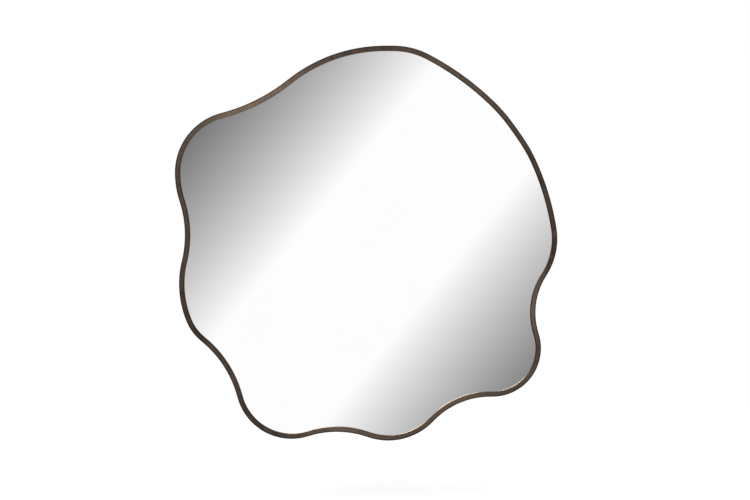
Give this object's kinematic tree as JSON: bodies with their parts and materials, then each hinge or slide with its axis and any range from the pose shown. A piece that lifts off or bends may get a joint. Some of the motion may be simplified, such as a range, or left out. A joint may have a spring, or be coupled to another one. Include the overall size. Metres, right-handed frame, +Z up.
{
  "type": "mirror",
  "caption": "Wavy-edged wall mirror: a silvered pane in a thin flat metal rim, on a backing board with swinging ring hangers and rubber wall feet.",
  "frame": {"origin": "On the wall plane, midway between the two wall hooks that the raised ring hangers hang from, straight above the mirror's centre of mass", "axes": "+Y points back into the wall, so the mirror's face looks along -Y; +Z is up; +X is to the right as seen from the front"},
  "size_m": [0.885, 0.0265, 0.914],
  "materials": {
    "rim_bronze": "satin",
    "silvered_glass": "polished",
    "film": "satin",
    "foam_tape": "matte",
    "glazing_foam": "matte",
    "board": "matte",
    "tab_steel": "satin",
    "zinc_screw": "satin",
    "zinc_strap": "satin",
    "ring_wire": "polished",
    "foot_rubber": "matte"
  },
  "bodies": {
    "mirror": {"face_ring": "rim_bronze", "side_band": "rim_bronze", "glazing_tape": "glazing_foam", "mirror_glass": "silvered_glass", "safety_film": "film", "foam_strips": "foam_tape", "backing_board": "board", "tab_right": "tab_steel", "tab_lower_right": "tab_steel", "tab_bottom": "tab_steel", "tab_lower_left": "tab_steel", "tab_left": "tab_steel", "tab_upper_left": "tab_steel", "tab_top": "tab_steel", "tab_upper_right": "tab_steel", "tab_screws": "zinc_screw", "hanger_strap_left": "zinc_strap", "hanger_strap_right": "zinc_strap", "strap_screws": "zinc_screw", "foot_upper_left": "foot_rubber", "foot_upper_right": "foot_rubber", "foot_lower_left": "foot_rubber", "foot_lower_right": "foot_rubber", "foot_screws": "zinc_screw"},
    "ring_left": {"d_ring_left": "ring_wire"},
    "ring_right": {"d_ring_right": "ring_wire"}
  },
  "joints": [
    {"name": "ring_left_swing", "type": "hinge", "parent": "mirror", "child": "ring_left", "pos_m": [-0.2032, -0.0059, -0.01525], "axis": [1, 0, 0], "range_deg": [0, 185]},
    {"name": "ring_right_swing", "type": "hinge", "parent": "mirror", "child": "ring_right", "pos_m": [0.2032, -0.0059, -0.01525], "axis": [1, 0, 0], "range_deg": [0, 185]}
  ]
}
